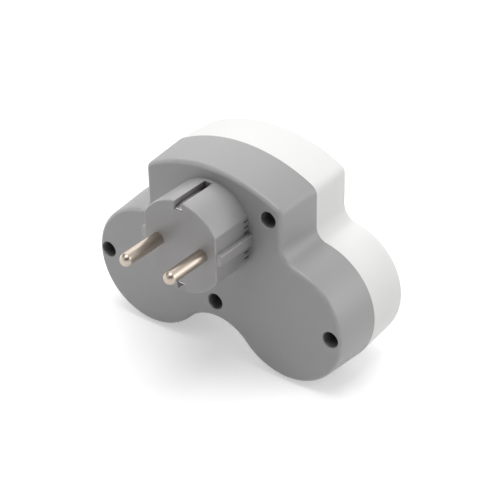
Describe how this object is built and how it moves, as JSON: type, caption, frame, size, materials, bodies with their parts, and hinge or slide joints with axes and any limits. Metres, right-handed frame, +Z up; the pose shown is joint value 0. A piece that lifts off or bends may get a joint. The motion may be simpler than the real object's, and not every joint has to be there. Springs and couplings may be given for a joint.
{
  "type": "multi socket adapter",
  "caption": "Plug-in mains adapter that gives an earthed wall socket several outlets, in a lobed two-colour housing.",
  "frame": {"origin": "middle of the plug's face, between the roots of its two pins", "axes": "+X to the right seen from the plug side, +Y from the plug's face to the sockets, +Z up; the pins point along -Y"},
  "size_m": [0.1108, 0.0762, 0.0776],
  "materials": {
    "grey_plastic": "moulded, fine satin",
    "white_plastic": "moulded, satin",
    "nickel_plate": "bright nickel plated brass",
    "brass": "stamped sheet, bare",
    "zinc_steel": "zinc plated"
  },
  "bodies": {
    "root": {"rear_housing": "grey_plastic", "front_housing": "white_plastic", "live_pin": "nickel_plate", "neutral_pin": "nickel_plate", "live_rail": "brass", "neutral_rail": "brass", "earth_rail": "brass", "plug_earth_stirrup": "nickel_plate", "earth_link": "brass", "live_rivets": "brass", "neutral_rivets": "brass", "earth_rivets": "brass", "housing_screws": "zinc_steel", "live_contact_top": "brass", "neutral_contact_top": "brass", "socket_earth_clip_top": "nickel_plate", "live_contact_left": "brass", "neutral_contact_left": "brass", "socket_earth_clip_left": "nickel_plate", "live_contact_right": "brass", "neutral_contact_right": "brass", "socket_earth_clip_right": "nickel_plate"}
  },
  "joints": []
}
